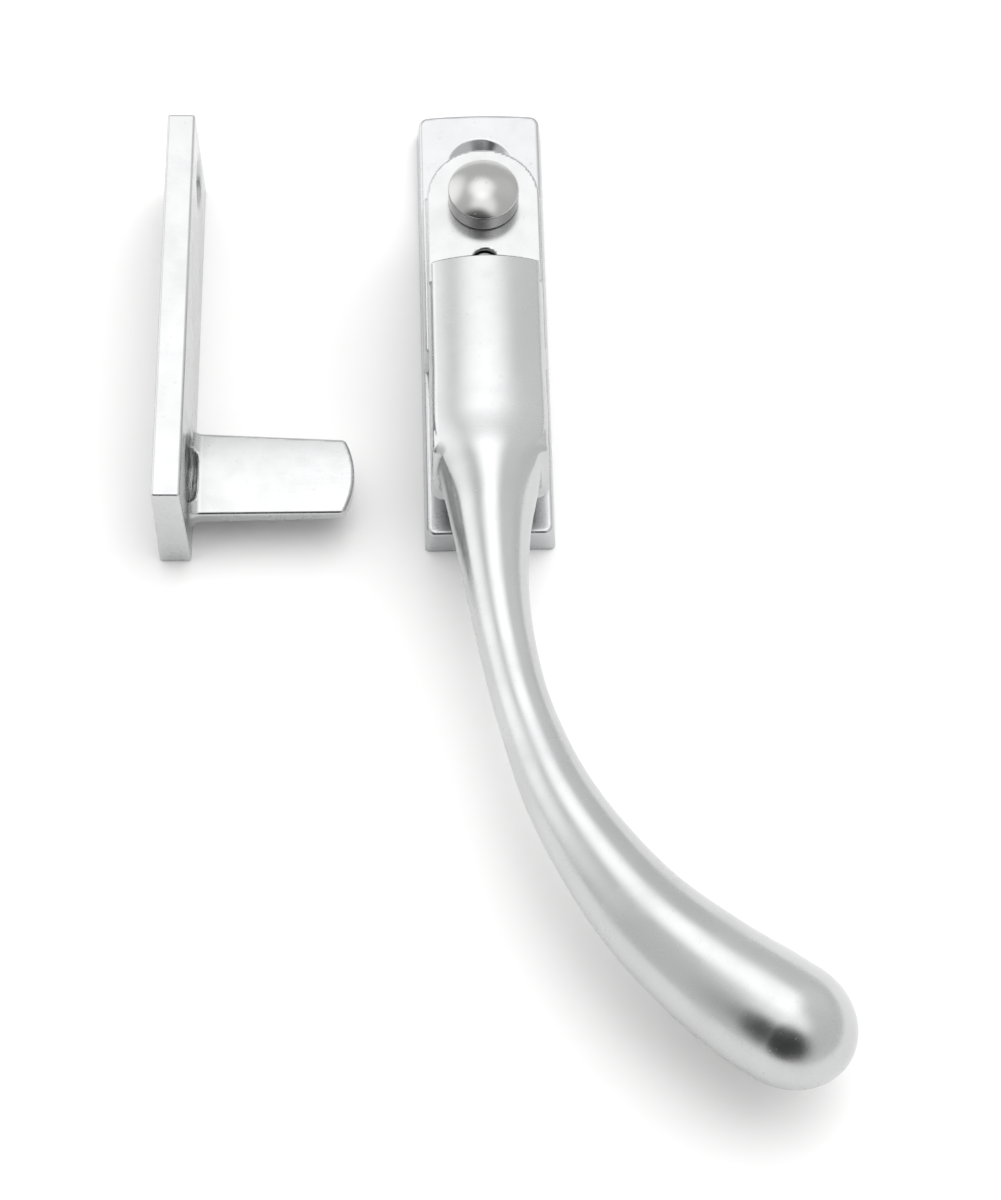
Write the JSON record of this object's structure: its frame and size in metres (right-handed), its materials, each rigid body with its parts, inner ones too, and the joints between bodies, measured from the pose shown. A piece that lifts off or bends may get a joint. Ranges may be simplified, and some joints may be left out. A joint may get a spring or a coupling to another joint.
{
  "type": "casement window fastener",
  "caption": "Casement window fastener: a pear-ended lever turns on a domed pivot over a rear plate, and its nose traps the tongue of an L-shaped hook plate.",
  "frame": {"origin": "on the rear plate's back face, midway between its two screw holes", "axes": "+Z out of the rear plate towards the user; +Y along the rear plate from the nose end to the pivot end; +X towards the side that the lever's pear end bends to, away from the hook plate"},
  "size_m": [0.0896, 0.153, 0.0226],
  "materials": {
    "lever_chrome": "satin chrome, finely brushed across the neck",
    "plate_chrome": "satin chrome",
    "cap_chrome": "satin chrome, turned",
    "hook_chrome": "satin chrome",
    "fixing_steel": "plain bright steel",
    "spring_steel": "plain spring steel",
    "bush_nylon": "natural nylon"
  },
  "bodies": {
    "rear": {"rear_plate": "plate_chrome", "pivot_block": "plate_chrome", "block_rivet_left": "fixing_steel", "block_rivet_right": "fixing_steel", "clench_washer": "fixing_steel", "pivot_pin": "fixing_steel", "thrust_washer": "fixing_steel", "wave_washer": "spring_steel", "pivot_cap": "cap_chrome"},
    "lever": {"handle_lever": "lever_chrome", "pivot_bush": "bush_nylon"},
    "lock": {"lock_screw": "fixing_steel"},
    "hook": {"hook_plate": "hook_chrome"}
  },
  "joints": [
    {"name": "lever_turn", "type": "hinge", "parent": "rear", "child": "lever", "pos_m": [0, 0.0112, 0.014], "axis": [0, 0, 1], "range_deg": [0, 90]},
    {"name": "lock_screw_travel", "type": "slide", "parent": "lever", "child": "lock", "axis": [0, 0, -1], "range_m": [0, 0.002]},
    {"name": "hook_engage", "type": "slide", "parent": "rear", "child": "hook", "axis": [1, 0, 0], "range_m": [0, 0.016]}
  ]
}
